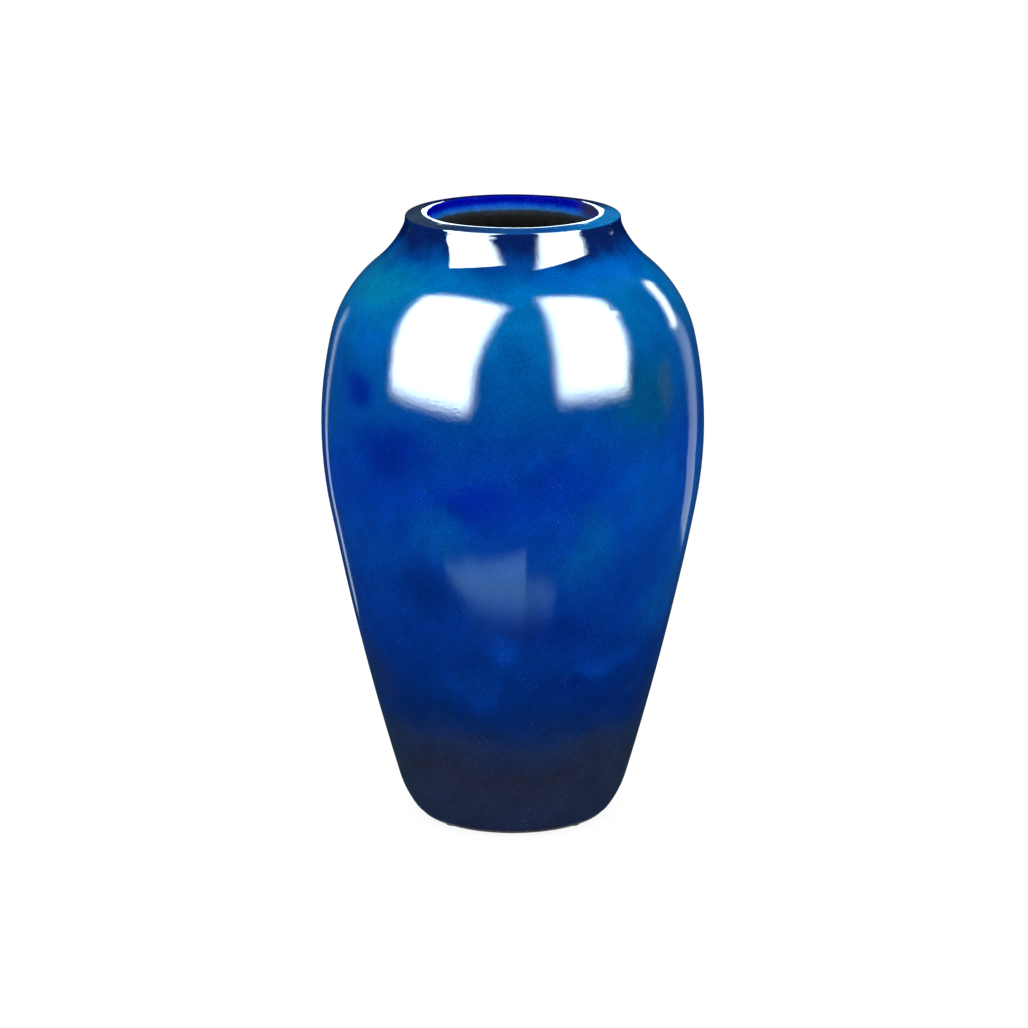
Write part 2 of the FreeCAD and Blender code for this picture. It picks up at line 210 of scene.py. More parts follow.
def normals(points):
    """Unit normals of an outline's points, to the right of its direction."""
    points = np.array(points)
    along = np.gradient(points, axis=0)
    along /= np.linalg.norm(along, axis=1)[:, None]
    return np.stack((along[:, 1], -along[:, 0]), axis=1)


def turned(name, points, moved=None, around=AROUND, centres=((0, 0, 0),)):
    """A mesh object turned from a closed outline, once about each centre.

    moved(radius, height, azimuth) shifts the points of a piece that isn't quite round, by changing the first
    two of its arrays. Their rows are the outline's points, and their columns go around.
    """
    points = np.array(points)
    azimuth = np.linspace(0, 2 * math.pi, around, endpoint=False)[None, :]
    radius = np.repeat(points[:, :1], around, axis=1)
    height = np.repeat(points[:, 1:], around, axis=1)
    if moved:
        moved(radius, height, azimuth)
    places = np.stack((radius * np.sin(azimuth), -radius * np.cos(azimuth), height), axis=-1).reshape(-1, 3)
    rings = len(points)
    faces = []
    for copy in range(len(centres)):
        for ring in range(rings):
            low = (copy * rings + ring) * around
            high = (copy * rings + (ring + 1) % rings) * around
            for turn in range(around):
                beside = (turn + 1) % around
                faces.append((low + turn, low + beside, high + beside, high + turn))
    mesh = bpy.data.meshes.new(name)
    mesh.from_pydata(np.concatenate([places + centre for centre in centres]).tolist(), [], faces)
    return finished(name, mesh)


def finished(name, mesh):
    """An object from a mesh: merged at the axis, faces outwards, smooth apart from its real edges."""
    work = bmesh.new()
    work.from_mesh(mesh)
    bmesh.ops.remove_doubles(work, verts=work.verts, dist=WELD)
    bmesh.ops.dissolve_degenerate(work, edges=work.edges, dist=WELD)
    bmesh.ops.recalc_face_normals(work, faces=work.faces)
    work.to_mesh(mesh)
    work.free()
    mesh.shade_smooth()
    mesh.set_sharp_from_angle(angle=SHARP)
    piece = bpy.data.objects.new(name, mesh)
    bpy.context.scene.collection.objects.link(piece)
    return piece


def stand_in(piece, node, material):
    """The piece stands in for the CAD node, which is hidden, with a material of its own, on the vase's one
    body.
    """
    piece.data.materials.append(material)
    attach(piece, "root")
    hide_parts(node)


# Slow unevenness of the thrown wall: depth, waves around, waves per metre of height, start of the wave
UNEVENNESS = (
    (0.060 * MM, 2, 3.0, 0.4),
    (0.045 * MM, 3, -5.0, 2.1),
    (0.035 * MM, 5, 7.0, 4.0),
    (0.025 * MM, 7, -9.0, 1.2),
    (0.030 * MM, 1, 14.0, 3.0),
)

ROUNDING = 0.8 * COAT           # how far the foot coat's lower edge curls in

# Rings that the potter's fingers left inside, and the trimming tool under the foot
FINGER_RING_PITCH = 9 * MM
FINGER_RING_DEPTH = 0.22 * MM
TRIMMING_RING_PITCH = 2.6 * MM
TRIMMING_RING_DEPTH = 0.1 * MM


def unevenness(height, azimuth):
    """How far the glaze stands out from its true shape, in metres."""
    total = 0
    for depth, around, upward, start in UNEVENNESS:
        total = total + depth * np.sin(around * azimuth + 2 * math.pi * upward * height + start)
    return total


def make_outer_coat(node, name, rounded_foot=False):
    """The blue or the foot coat: its bare side is slightly uneven, its clay side is true."""
    inner, outer = coat_sides(node)
    inner = refine(inner, HIDDEN_STEP)
    outer = refine(outer, SEEN_STEP)
    count = len(outer)
    out = normals(outer)

    def moved(radius, height, azimuth):
        offset = unevenness(height[:count], azimuth)
        if rounded_foot:
            lowest = height[0, 0]
            edge = np.clip(1 - (height[:count] - lowest) / (2 * COAT), 0, 1)
            offset = offset * (1 - edge) - edge ** 2 * ROUNDING
        radius[:count] += out[:, :1] * offset
        height[:count] += out[:, 1:] * offset

    return turned(name, outer + inner[::-1], moved)


def make_liner_coat():
    """The coat inside, with the rings that the potter's fingers left on the wall."""
    inner, outer = coat_sides("liner_glaze")
    inner = refine(inner, SEEN_STEP)
    outer = refine(outer, HIDDEN_STEP)
    count = len(inner)
    out = normals(inner)
    throat = inner[-1][1]

    def moved(radius, height, azimuth):
        wall = height[:count]
        below_throat = np.clip((throat - 25 * MM - wall) / (30 * MM), 0, 1)
        above_floor = np.clip(wall / (60 * MM), 0, 1)
        turns = wall / FINGER_RING_PITCH - azimuth / (2 * math.pi)
        wave = 0.5 + 0.5 * np.sin(2 * math.pi * turns)
        offset = -FINGER_RING_DEPTH * below_throat * above_floor * wave
        radius[:count] += out[:, :1] * offset
        height[:count] += out[:, 1:] * offset

    return turned("liner_glaze_coat", inner + outer[::-1], moved)


def make_pot():
    """The clay pot. Only its bare foot and the recess under it are seen. The recess has trimming rings."""
    points = outline("stoneware_body")
    ceiling = refine(points[:2], step=0.5 * MM)
    rest = refine(points[1:], step=3 * MM)
    count = len(ceiling)

    def moved(radius, height, azimuth):
        out = radius[:count]
        turns = out / TRIMMING_RING_PITCH + azimuth / (2 * math.pi)
        off_axis = np.clip(out / (5 * MM), 0, 1)
        off_edge = np.clip((out[-1] - out) / (4 * MM), 0, 1)
        height[:count] += TRIMMING_RING_DEPTH * off_axis * off_edge * np.sin(2 * math.pi * turns)

    return turned("clay_pot", ceiling + rest[1:], moved)


def solids(node):
    """The separate solids of a node, each as its lowest and highest corner."""
    mesh = bmesh.new()
    mesh.from_mesh(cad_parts[node].data)
    bmesh.ops.remove_doubles(mesh, verts=mesh.verts, dist=WELD)
    left = set(mesh.verts)
    found = []
    while left:
        reached = {left.pop()}
        edge = list(reached)
        while edge:
            linked = [each.other_vert(vert) for vert in edge for each in vert.link_edges]
            edge = list(set(linked) - reached)
            reached.update(edge)
        left -= reached
        places = np.array([vert.co for vert in reached])
        found.append((places.min(axis=0), places.max(axis=0)))
    mesh.free()
    return sorted(found, key=lambda corners: tuple(corners[0]))


def make_discs(node, name, edge, fuzz):
    """A node's discs. edge is how far their rims bulge, and fuzz is how far their surface is uneven."""
    found = solids(node)
    low, high = found[0]
    radius = (high[0] - low[0]) / 2
    middle = (low[2] + high[2]) / 2
    half = (high[2] - low[2]) / 2
    centres = [((a[0] + b[0]) / 2, (a[1] + b[1]) / 2, 0) for a, b in found]
    step = 0.4 * MM
    points = refine([np.array((0, low[2])), np.array((radius - edge, low[2]))], step)
    for angle in math.pi * (np.arange(1, 9) / 8 - 0.5):
        points.append(np.array((radius - edge + edge * math.cos(angle), middle + half * math.sin(angle))))
    points += refine([points[-1], np.array((0, high[2]))], step)[1:]
    draw = np.random.default_rng(7)

    def moved(radius, height, azimuth):
        rim = radius > 0.8 * radius.max()
        radius -= fuzz * draw.random(radius.shape) * rim
        side = (height > low[2] + WELD) & (height < high[2] - WELD)
        height += fuzz * (draw.random(height.shape) - 0.5) * side

    return turned(name, points, moved, around=72, centres=centres)


# --------------------------------------------------------------------------------------------------
# Materials
# --------------------------------------------------------------------------------------------------


def paint(red, green, blue):
    """A colour as it looks on a screen, as the linear colour that materials use."""
    linear = []
    for value in (red, green, blue):
        share = value / 255
        linear.append(share / 12.92 if share <= 0.04045 else ((share + 0.055) / 1.055) ** 2.4)
    return (*linear, 1)


class Graph:
    """A node tree being built. Each method adds a node and returns its output for the next one to use."""

    def __init__(self, tree):
        tree.nodes.clear()
        self.tree = tree

    def add(self, kind, inputs=(), **settings):
        """A node with these properties. Its inputs, by number or name, are set or linked."""
        node = self.tree.nodes.new(kind)
        for name, value in settings.items():
            setattr(node, name, value)
        for socket, value in dict(inputs).items():
            if isinstance(value, bpy.types.NodeSocket):
                self.tree.links.new(value, node.inputs[socket])
            else:
                node.inputs[socket].default_value = value
        return node

    def math(self, operation, *values):
        return self.add("ShaderNodeMath", enumerate(values), operation=operation).outputs[0]

    def vector(self, operation, *values):
        return self.add("ShaderNodeVectorMath", enumerate(values), operation=operation).outputs["Vector"]

    def length(self, value):
        return self.add("ShaderNodeVectorMath", {0: value}, operation="LENGTH").outputs["Value"]

    def scaled(self, value, factor):
        inputs = {0: value, "Scale": factor}
        return self.add("ShaderNodeVectorMath", inputs, operation="SCALE").outputs["Vector"]

    def mix(self, share, first, second):
        """A colour between two others: the first where share is 0, the second where it is 1."""
        return self.add("ShaderNodeMix", {0: share, 6: first, 7: second}, data_type="RGBA").outputs[2]

    def noise(self, where, size, detail=2.0, roughness=0.5, colour=False):
        """Smooth noise whose features are about this size, from 0 to 1."""
        inputs = {"Vector": where, "Scale": 1 / size, "Detail": detail, "Roughness": roughness}
        return self.add("ShaderNodeTexNoise", inputs).outputs[1 if colour else 0]

    def fade(self, value, start, end, low=0.0, high=1.0, straight=False):
        """low where value is at start, high where it is at end, and smooth or straight between."""
        inputs = {"Value": value, "From Min": start, "From Max": end, "To Min": low, "To Max": high}
        kind = "LINEAR" if straight else "SMOOTHSTEP"
        return self.add("ShaderNodeMapRange", inputs, interpolation_type=kind).outputs[0]

    def ramp(self, value, stops):
        """A colour that goes through the stops, each a place from 0 to 1 and a colour."""
        node = self.add("ShaderNodeValToRGB", {0: value})
        elements = node.color_ramp.elements
        while len(elements) < len(stops):
            elements.new(0.5)
        for element, (place, colour) in zip(elements, stops):
            element.position = place
            element.color = colour
        return node.outputs[0]


def new_material(name):
    """An empty material, and the graph to build its nodes with."""
    material = bpy.data.materials.new(name)
    material.use_nodes = True
    return material, Graph(material.node_tree)


def finish_material(graph, shader):
    """The shader is what the material shows."""
    graph.add("ShaderNodeOutputMaterial", {"Surface": shader.outputs[0]})


def place_on_vase(graph):
    """Where a point of the surface is, in the vase's own frame."""
    return graph.add("ShaderNodeTexCoord").outputs["Object"]


# The glaze's colour up the vase: height in mm, colour
GLAZE_BANDS = (
    (0, (33, 42, 74)),
    (20, (35, 44, 74)),
    (45, (35, 43, 67)),
    (66, (30, 45, 84)),
    (76, (15, 43, 97)),
    (88, (3, 40, 108)),
    (105, (0, 42, 120)),
    (125, (0, 46, 132)),
    (150, (0, 50, 142)),
    (175, (0, 56, 149)),
    (200, (0, 65, 162)),
    (240, (0, 59, 171)),
    (275, (0, 65, 160)),
    (300, (0, 77, 160)),
    (325, (0, 86, 164)),
    (345, (0, 105, 175)),
    (365, (0, 104, 180)),
    (378, (0, 70, 150)),
    (388, (6, 33, 96)),
    (397, (8, 34, 96)),
)

# Clouds in the glaze: azimuth, then height, half width and half height in mm, colour, strength
CLOUDS = (
    (-62, 362, 66, 22, (0, 120, 162), 0.8),
    (-34, 372, 46, 12, (0, 104, 172), 0.5),
    (-52, 331, 34, 16, (0, 96, 190), 0.6),
    (-55, 303, 27, 20, (0, 26, 146), 0.8),
    (-70, 280, 24, 40, (0, 84, 162), 0.6),
    (-40, 266, 40, 28, (0, 34, 146), 0.8),
    (-12, 238, 34, 22, (0, 36, 164), 0.7),
    (12, 250, 40, 20, (0, 44, 160), 0.5),
    (0, 320, 30, 40, (0, 86, 162), 0.5),
    (44, 300, 42, 48, (0, 80, 128), 0.9),
    (53, 302, 12, 26, (44, 88, 120), 0.6),
    (58, 345, 30, 22, (0, 78, 154), 0.5),
    (50, 374, 70, 12, (0, 102, 200), 0.7),
    (-22, 214, 28, 24, (0, 84, 170), 0.7),
    (23, 205, 26, 42, (0, 92, 172), 0.65),
    (44, 240, 46, 44, (0, 82, 180), 0.8),
    (74, 215, 44, 80, (0, 90, 180), 0.8),
    (-28, 176, 36, 32, (0, 34, 116), 0.6),
    (12, 150, 46, 16, (0, 34, 124), 0.6),
    (62, 158, 44, 40, (0, 78, 164), 0.8),
    (-16, 110, 30, 24, (0, 56, 146), 0.7),
    (-3, 137, 16, 14, (0, 64, 166), 0.7),
    (38, 122, 40, 14, (0, 62, 164), 0.7),
    (24, 108, 26, 14, (0, 36, 124), 0.6),
    (44, 88, 40, 14, (2, 36, 116), 0.5),
    (-66, 105, 36, 30, (24, 40, 94), 0.6),
    (76, 88, 40, 26, (24, 36, 96), 0.6),
    (108, 300, 40, 34, (0, 40, 150), 0.7),
    (135, 355, 60, 22, (0, 122, 166), 0.7),
    (150, 262, 44, 36, (0, 44, 152), 0.7),
    (128, 196, 34, 40, (0, 88, 172), 0.7),
    (172, 315, 40, 26, (0, 96, 176), 0.7),
    (178, 168, 44, 28, (0, 36, 120), 0.6),
    (205, 232, 36, 32, (0, 84, 174), 0.7),
    (222, 340, 50, 24, (0, 62, 160), 0.7),
    (238, 280, 40, 36, (0, 38, 150), 0.7),
    (236, 150, 40, 26, (0, 64, 150), 0.7),
    (150, 112, 50, 18, (0, 60, 150), 0.6),
    (200, 96, 44, 20, (4, 38, 112), 0.6),
)

# The flat rim's colour around it, with painted light and reflection: a slate painted reflection on its left,
# bright blue painted light on its right. Azimuth, colour
RIM_PAINTED_LIGHT = (
    (-180, (2, 14, 132)),
    (-140, (8, 22, 124)),
    (-112, (50, 68, 96)),
    (-75, (54, 70, 96)),
    (-35, (34, 56, 94)),
    (0, (18, 74, 142)),
    (25, (14, 82, 156)),
    (55, (14, 124, 194)),
    (95, (26, 130, 200)),
    (116, (44, 66, 104)),
    (150, (10, 20, 120)),
    (180, (2, 14, 132)),
)

# The glaze's colour inside the mouth, down to the dark throat, with a painted sheen that makes it paler near
# its lower edge: height in mm, colour
FUNNEL_GLAZE_AND_SHEEN = (
    (386, (30, 31, 33)),
    (390.2, (62, 68, 74)),
    (391.2, (50, 74, 104)),
    (392.2, (52, 118, 190)),
    (393.2, (34, 112, 212)),
    (394.7, (10, 84, 218)),
    (396.2, (2, 30, 186)),
    (397.4, (2, 9, 170)),
    (400, (2, 12, 166)),
)

# Where the outside's colour gives way to the flat rim's painted light, going up, and to the mouth's colour
# and painted light, going towards the axis
RIM_FADE = (TOP - 2.4 * MM, TOP - 1.4 * MM)
MOUTH_FADE = (56.2 * MM, 55.2 * MM)


def rim_painted_light(graph, where, colour):
    """The colour, changed on the flat rim to painted light and reflection: a slate painted reflection on its
    left, bright blue painted light on its right, deep blue behind.
    """
    across, back, height = graph.add("ShaderNodeSeparateXYZ", {0: where}).outputs
    azimuth = graph.math("ARCTAN2", across, graph.math("MULTIPLY", back, -1.0))
    first = math.radians(RIM_PAINTED_LIGHT[0][0])
    last = math.radians(RIM_PAINTED_LIGHT[-1][0])
    stops = [((math.radians(at) - first) / (last - first), paint(*tint)) for at, tint in RIM_PAINTED_LIGHT]
    around = graph.ramp(graph.fade(azimuth, first, last, straight=True), stops)
    return graph.mix(graph.fade(height, *RIM_FADE), colour, around)


def funnel_colour_and_painted_light(graph, where, colour):
    """The colour, changed inside the mouth: deep blue, paler near its lower edge where a sheen is painted,
    and dark on its right where a shadow is painted.
    """
    across, _, height = graph.add("ShaderNodeSeparateXYZ", {0: where}).outputs
    low = FUNNEL_GLAZE_AND_SHEEN[0][0] * MM
    high = FUNNEL_GLAZE_AND_SHEEN[-1][0] * MM
    stops = [((at * MM - low) / (high - low), paint(*tint)) for at, tint in FUNNEL_GLAZE_AND_SHEEN]
    level_wobble = graph.fade(graph.noise(where, 5 * MM, detail=3), 0.2, 0.8, -0.5 * MM, 0.5 * MM)
    level = graph.math("ADD", height, level_wobble)
    inner = graph.ramp(graph.fade(level, low, high, straight=True), stops)
    # Painted shadow on the mouth's right side
    inner = graph.mix(graph.fade(across, 38 * MM, 50 * MM, 0.0, 0.85), inner, paint(54, 56, 66))
    off_axis = graph.length(graph.vector("MULTIPLY", where, (1, 1, 0)))
    return graph.mix(graph.fade(off_axis, *MOUTH_FADE), colour, inner)


def glaze_colour(graph, where):
    """Deep blue with clouds of teal, royal blue and navy, darkening to the foot, with painted light on the
    flat rim and inside the mouth.
    """
    swirl = graph.noise(where, 45 * MM, detail=4, roughness=0.55, colour=True)
    wander = graph.vector("SUBTRACT", swirl, (0.5, 0.5, 0.5))
    spot = graph.vector("ADD", where, graph.scaled(wander, 34 * MM))
    height = graph.add("ShaderNodeSeparateXYZ", {0: spot}).outputs[2]
    stops = [(at * MM / TOP, paint(*tint)) for at, tint in GLAZE_BANDS]
    colour = graph.ramp(graph.math("DIVIDE", height, TOP), stops)
    heights, radii = outside()
    for azimuth, at, wide, high, tint, strength in CLOUDS:
        radius = float(np.interp(at * MM, heights, radii))
        angle = math.radians(azimuth)
        centre = (radius * math.sin(angle), -radius * math.cos(angle), at * MM)
        offset = graph.vector("SUBTRACT", spot, centre)
        distance = graph.length(graph.vector("DIVIDE", offset, (wide * MM, wide * MM, high * MM)))
        share = graph.fade(distance, 1.0, 0.15, 0.0, strength)
        colour = graph.mix(share, colour, paint(*tint))
    # Painted light and reflection on the flat rim, and painted sheen and shadow inside the mouth
    colour = funnel_colour_and_painted_light(graph, where, rim_painted_light(graph, where, colour))
    mottle = graph.fade(graph.noise(where, 18 * MM, detail=5, roughness=0.55), 0.3, 0.7, 0.9, 1.1)
    grain = graph.fade(graph.noise(where, 1.1 * MM, detail=1.5), 0.25, 0.75, 0.8, 1.2)
    colour = graph.scaled(colour, graph.math("MULTIPLY", mottle, grain))
    specks = graph.fade(graph.noise(where, 0.9 * MM, detail=2), 0.64, 0.74)
    patches = graph.fade(graph.noise(where, 20 * MM, detail=4, roughness=0.6), 0.52, 0.66, 0.04, 0.5)
    return graph.mix(graph.math("MULTIPLY", specks, patches), colour, paint(74, 146, 212))


PEEL_SIZE = 1.6 * MM
PEEL_DEPTH = 0.062 * MM


def glaze_material(name):
    """The glaze: one colour field for the whole outside, so that its two coats meet unseen.

    Its fine peel is strong from the shoulder to the lip, and almost gone on the flank and on the flat rim.
    """
    material, graph = new_material(name)
    where = place_on_vase(graph)
    peel = graph.noise(where, PEEL_SIZE, detail=4.0, roughness=0.65)
    height = graph.add("ShaderNodeSeparateXYZ", {0: where}).outputs[2]
    up_the_flank = graph.fade(height, 240 * MM, 310 * MM, 0.1, 1.0)
    onto_the_rim = graph.fade(height, TOP - 4 * MM, TOP - 2 * MM, 1.0, 0.12)
    bump = graph.add("ShaderNodeBump", {
        "Height": peel,
        "Distance": PEEL_DEPTH,
        "Strength": graph.math("MULTIPLY", up_the_flank, onto_the_rim),
    })
    shader = graph.add("ShaderNodeBsdfPrincipled", {
        "Base Color": glaze_colour(graph, where),
        "Roughness": graph.fade(height, 195 * MM, 245 * MM, 0.08, 0.035),
        "IOR": 1.5,
        "Normal": bump.outputs[0],
    })
    finish_material(graph, shader)
    return material


def liner_material():
    """Dark grey-brown glaze inside."""
    material, graph = new_material("liner_glaze")
    where = place_on_vase(graph)
    spots = graph.fade(graph.noise(where, 7 * MM, detail=5, roughness=0.6), 0.35, 0.7)
    shader = graph.add("ShaderNodeBsdfPrincipled", {
        "Base Color": graph.mix(spots, paint(40, 42, 44), paint(54, 53, 52)),
        "Roughness": 0.25,
        "IOR": 1.5,
    })
    finish_material(graph, shader)
    return material


def stoneware_material():
    """Bare fired clay, speckled with paler grog. Its charcoal grey is partly the clay's own colour and partly
    painted shade at the foot.
    """
    material, graph = new_material("stoneware")
    where = place_on_vase(graph)
    tone = graph.noise(where, 9 * MM, detail=5, roughness=0.6)
    grog = graph.fade(graph.noise(where, 0.9 * MM, detail=2), 0.66, 0.74)
    # Charcoal grey: the clay's colour, darkened as painted shade at the foot
    clay = graph.mix(tone, paint(44, 40, 46), paint(66, 60, 62))
    grit = graph.noise(where, 0.5 * MM, detail=3)
    bump = graph.add("ShaderNodeBump", {"Height": grit, "Distance": 0.08 * MM, "Strength": 0.8})
    shader = graph.add("ShaderNodeBsdfPrincipled", {
        "Base Color": graph.mix(graph.math("MULTIPLY", grog, 0.6), clay, paint(112, 100, 92)),
        "Roughness": 0.85,
        "Normal": bump.outputs[0],
    })
    finish_material(graph, shader)
    return material


def felt_material():
    """Dark grey pressed felt, its darkness partly the felt's own and partly painted shade under the foot."""
    material, graph = new_material("felt")
    where = place_on_vase(graph)
    fibres = graph.noise(graph.vector("MULTIPLY", where, (1, 1, 4)), 0.35 * MM, detail=4, roughness=0.7)
    bump = graph.add("ShaderNodeBump", {"Height": fibres, "Distance": 0.1 * MM, "Strength": 1.0})
    shader = graph.add("ShaderNodeBsdfPrincipled", {
        # Dark grey: partly the felt's colour, partly painted shade under the foot
        "Base Color": graph.mix(fibres, paint(26, 27, 30), paint(58, 59, 64)),
        "Roughness": 0.95,
        "Sheen Weight": 0.4,
        "Normal": bump.outputs[0],
    })
    finish_material(graph, shader)
    return material


def adhesive_material():
    """Cloudy, slightly yellow adhesive film."""
    material, graph = new_material("adhesive")
    clouds = graph.noise(place_on_vase(graph), 1.5 * MM, detail=3)
    shader = graph.add("ShaderNodeBsdfPrincipled", {
        "Base Color": graph.mix(clouds, paint(196, 188, 160), paint(220, 214, 194)),
        "Roughness": graph.fade(clouds, 0.3, 0.7, 0.2, 0.4),
        "Subsurface Weight": 0.1,
    })
    finish_material(graph, shader)
    return material


# --------------------------------------------------------------------------------------------------
# Studio
# --------------------------------------------------------------------------------------------------

CAMERA_ELEVATION = 15.04        # degrees
CAMERA_DISTANCE = 2.474
CAMERA_LENS = 132.8             # mm
CAMERA_SHIFT = (0.00117, -0.00025)

FLOOR_REACH = 3.0               # from the middle of the floor to its sides
SECTOR_POINTS = 33              # along each edge of a sector

# The dark room that the glaze reflects, in front of the vase and behind it, in linear colours
ROOM_FRONT = (0.008, 0.012, 0.018, 1)
ROOM_BACK = (0.012, 0.034, 0.05, 1)

# The studio's lights and cards show only as reflections, and the floor doesn't, so some are below it. The
# rest of the light comes from the world. These are the linear colours of the lights and of the cards.
LIGHT_TINT = (0.76, 0.94, 1)
CARD_TINT = (0.38, 0.8, 1)

# Softboxes and a panel behind: corners, brightness
SOFTBOXES = {
    "left_softbox": (
        ((-2.03, -0.51, 0.36), (-0.90, -1.92, 0.35), (-0.14, -0.79, 2.23), (-1.24, 0.16, 1.95),
         (-1.55, 0.03, 1.68), (-1.92, -0.30, 1.08)),
        35,
    ),
    "right_softbox": (
        ((0.96, -1.88, 0.46), (1.98, -0.69, 0.38), (1.93, -0.43, 0.99), (1.34, 0.07, 1.89),
         (0.43, -0.42, 2.29), (0.68, -0.99, 2.02), (0.86, -1.56, 1.43)),
        35,
    ),
    "back_panel": (
        ((-0.17, 2.0, 0.65), (0.17, 2.0, 0.65), (0.17, 1.95, 1.05), (-0.17, 1.95, 1.05)),
        8,
    ),
}

# Cards low in front: points along the upper and the lower edge, brightness
CARDS = {
    "low_card": (
        ((-1.21, -1.12, -0.91), (-0.80, -1.43, -0.94), (-0.33, -1.59, -0.96), (-0.04, -1.62, -0.95),
         (0.25, -1.62, -0.94)),
        ((-1.21, -1.12, -0.92), (-0.85, -1.34, -1.01), (-0.45, -1.51, -1.065), (-0.12, -1.57, -1.08),
         (0.25, -1.55, -1.08)),
        2.6,
    ),
    "side_card": (
        ((0.25, -1.57, -1.02), (0.55, -1.50, -1.01), (0.85, -1.34, -1.01)),
        ((0.25, -1.55, -1.08), (0.50, -1.49, -1.065), (0.70, -1.40, -1.045)),
        1.8,
    ),
}

# Narrow lights behind the vase, which edge its sides: the points along each, its width, brightness
STRIPS = {
    "left_strip": (
        ((-1.24, 1.60, 0.50), (-1.12, 1.65, -0.10), (-0.93, 1.64, -0.60)),
        0.18,
        1.2,
    ),
    "right_strip": (
        ((1.60, 1.25, 0.70), (1.40, 1.45, 0.10), (1.42, 1.38, -0.30), (1.18, 1.49, -0.54)),
        0.5,
        1.0,
    ),
    "right_strip_top": (
        ((1.22, 1.36, 1.22), (1.60, 1.23, 0.56)),
        0.26,
        14,
    ),
}

# Sectors of rings close to the mouth and neck. The black ones keep the lights' reflections off parts of the
# glaze, and the two lit ones carry the neck's highlights up to the lip. Each has the azimuths of its ends,
# the radius and height in mm of its edges, how much higher its second end is in mm, and its brightness.
SECTORS = {
    "mouth_flag": ((0, 360), (0, 399.9), (55.2, 399.9), 0, 0),
    "rim_flag": ((-65, 65), (62, 400.1), (62, 405), 0, 0),
    "neck_flag": ((95, 265), (90, 372), (90, 408), 0, 0),
    "back_flag": ((150, 210), (90, 405), (90, 416), 0, 0),
    "right_flag": ((101.2, 145), (140, 370), (140, 445), 0, 0),
    "left_fin": ((-75, -36), (64, 391), (98, 391), 0, 0),
    "left_collar": ((-75, 0), (66, 371.1), (93, 371.1), 9.6, 0),
    "right_collar": ((4, 75), (66, 376), (93, 376), 15.3, 0),
    "left_lip_flag": ((-75, -46), (90, 385), (90, 404), 0, 0),
    "left_lip_fill": ((-53, -14), (140, 391), (140, 397.5), 0, 35),
    "right_lip_fill": ((20.5, 57), (140, 391), (140, 397.5), 0, 35),
}


def glow_material(name, brightness, tint):
    """A surface that shines evenly, or a black one where the brightness is 0."""
    material, graph = new_material(name)
    shader = graph.add("ShaderNodeEmission", {"Color": (*tint, 1), "Strength": brightness})
    finish_material(graph, shader)
    material.cycles.emission_sampling = "NONE"
    return material


def reflected(name, corners, faces, brightness, tint=LIGHT_TINT):
    """A light, or a black card, that shows in glossy surfaces only."""
    mesh = bpy.data.meshes.new(name)
    mesh.from_pydata(corners, [], faces)
    panel = bpy.data.objects.new(name, mesh)
    panel.data.materials.append(glow_material(name, brightness, tint))
    for ray in ("camera", "diffuse", "transmission", "volume_scatter", "shadow"):
        setattr(panel, "visible_" + ray, False)
    bpy.context.scene.collection.objects.link(panel)


def ribbon(first_edge, second_edge):
    """Faces of a band whose two edges are lists of points, one after the other."""
    count = len(first_edge)
    faces = [(i, i + 1, count + i + 1, count + i) for i in range(count - 1)]
    return [*first_edge, *second_edge], faces


def direction(azimuth, elevation):
    """Unit vector towards an azimuth and elevation in degrees."""
    a = math.radians(azimuth)
    e = math.radians(elevation)
    return Vector((math.sin(a) * math.cos(e), -math.cos(a) * math.cos(e), math.sin(e)))


def sector_edge(start, end, radius, height, rise):
    """Points along one edge of a sector."""
    edge = []
    for share in np.linspace(0, 1, SECTOR_POINTS):
        azimuth = math.radians(start + (end - start) * share)
        place = (radius * math.sin(azimuth), -radius * math.cos(azimuth), height + rise * share)
        edge.append(Vector(place) * MM)
    return edge


def make_softboxes():
    for name, (corners, brightness) in SOFTBOXES.items():
        reflected(name, corners, [range(len(corners))], brightness)


def make_cards():
    for name, (upper, lower, brightness) in CARDS.items():
        reflected(name, *ribbon(upper, lower), brightness, CARD_TINT)


def make_strips():
    """The strips are ribbons that face the vase's axis."""
    for name, (points, width, brightness) in STRIPS.items():
        sideways = Vector((points[0][1], -points[0][0], 0)).normalized() * width / 2
        left = [Vector(point) - sideways for point in points]
        right = [Vector(point) + sideways for point in points]
        reflected(name, *ribbon(left, right), brightness)


def make_sectors():
    for name, (ends, first, second, rise, brightness) in SECTORS.items():
        edges = [sector_edge(*ends, *edge, rise) for edge in (first, second)]
        reflected(name, *ribbon(*edges), brightness)


def make_world():
    """White to the camera, a dark room to reflections, and soft light from above to the rest."""
    world = bpy.data.worlds.new("studio")
    world.use_nodes = True
    bpy.context.scene.world = world
    graph = Graph(world.node_tree)
    rays = graph.add("ShaderNodeLightPath").outputs
    towards = graph.add("ShaderNodeTexCoord").outputs["Generated"]
    _, backward, upward = graph.add("ShaderNodeSeparateXYZ", {0: towards}).outputs
    soft = graph.fade(upward, -1.0, 1.0, 0.5, 1.3)
    room = graph.mix(graph.fade(backward, 0.0, 0.95), ROOM_FRONT, ROOM_BACK)
    seen = graph.mix(rays["Is Glossy Ray"], soft, room)
    seen = graph.mix(rays["Is Camera Ray"], seen, (1, 1, 1, 1))
    shader = graph.add("ShaderNodeBackground", {"Color": seen})
    graph.add("ShaderNodeOutputWorld", {"Surface": shader.outputs[0]})
    world.cycles.sampling_method = "NONE"


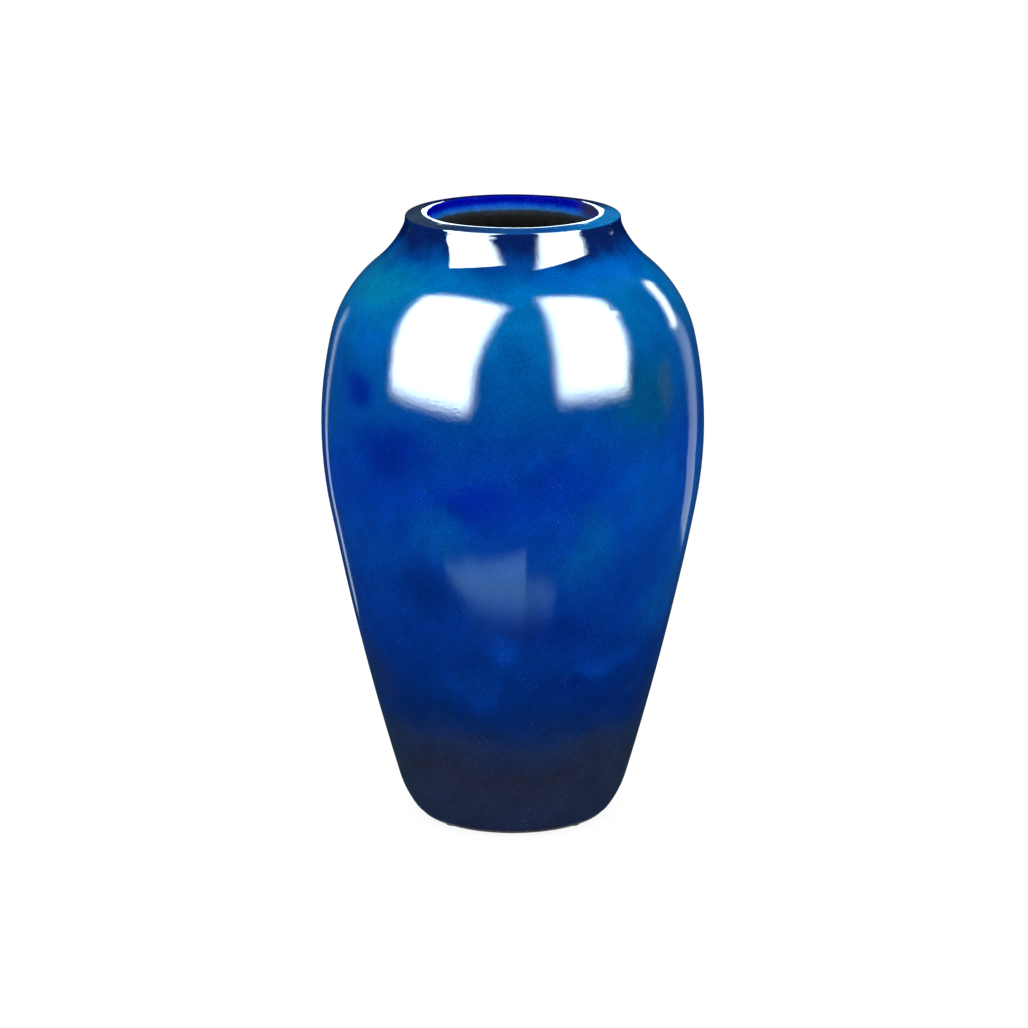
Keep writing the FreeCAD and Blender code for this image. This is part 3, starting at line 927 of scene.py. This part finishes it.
def make_floor():
    """A pale floor, which only the camera sees. It takes a faint shadow at the foot."""
    mesh = bpy.data.meshes.new("floor")
    signs = ((-1, -1), (1, -1), (1, 1), (-1, 1))
    mesh.from_pydata([(x * FLOOR_REACH, y * FLOOR_REACH, 0) for x, y in signs], [], [range(4)])
    floor = bpy.data.objects.new("floor", mesh)
    bpy.context.scene.collection.objects.link(floor)
    material, graph = new_material("floor")
    pale = graph.add("ShaderNodeBsdfDiffuse", {"Color": (0.14, 0.14, 0.14, 1)})
    bright = graph.add("ShaderNodeEmission", {"Strength": 0.89})
    finish_material(graph, graph.add("ShaderNodeAddShader", {0: pale.outputs[0], 1: bright.outputs[0]}))
    floor.data.materials.append(material)
    for ray in ("glossy", "diffuse", "shadow"):
        setattr(floor, "visible_" + ray, False)


def make_camera():
    """The camera looks slightly down on the vase, at the middle of its height."""
    data = bpy.data.cameras.new("camera")
    data.lens = CAMERA_LENS
    data.shift_x, data.shift_y = CAMERA_SHIFT
    camera = bpy.data.objects.new("camera", data)
    towards = direction(0, CAMERA_ELEVATION)
    camera.location = Vector((0, 0, TOP / 2)) + CAMERA_DISTANCE * towards
    camera.rotation_euler = towards.to_track_quat("Z", "Y").to_euler()
    bpy.context.scene.collection.objects.link(camera)
    bpy.context.scene.camera = camera


# --------------------------------------------------------------------------------------------------
# The scene
# --------------------------------------------------------------------------------------------------

bpy.context.scene.view_settings.view_transform = "Standard"
pot = make_pot()
stand_in(pot, "stoneware_body", stoneware_material())
blue_coat = make_outer_coat("blue_glaze", "blue_glaze_coat")
stand_in(blue_coat, "blue_glaze", glaze_material("blue_glaze"))
foot_coat = make_outer_coat("foot_glaze", "foot_glaze_coat", rounded_foot=True)
stand_in(foot_coat, "foot_glaze", glaze_material("foot_glaze"))
liner_coat = make_liner_coat()
stand_in(liner_coat, "liner_glaze", liner_material())
pads = make_discs("felt_pads", "felt_discs", edge=0.35 * MM, fuzz=0.12 * MM)
stand_in(pads, "felt_pads", felt_material())
films = make_discs("pad_adhesive", "adhesive_films", edge=0.1 * MM, fuzz=0)
stand_in(films, "pad_adhesive", adhesive_material())
make_softboxes()
make_cards()
make_strips()
make_sectors()
make_world()
make_floor()
make_camera()
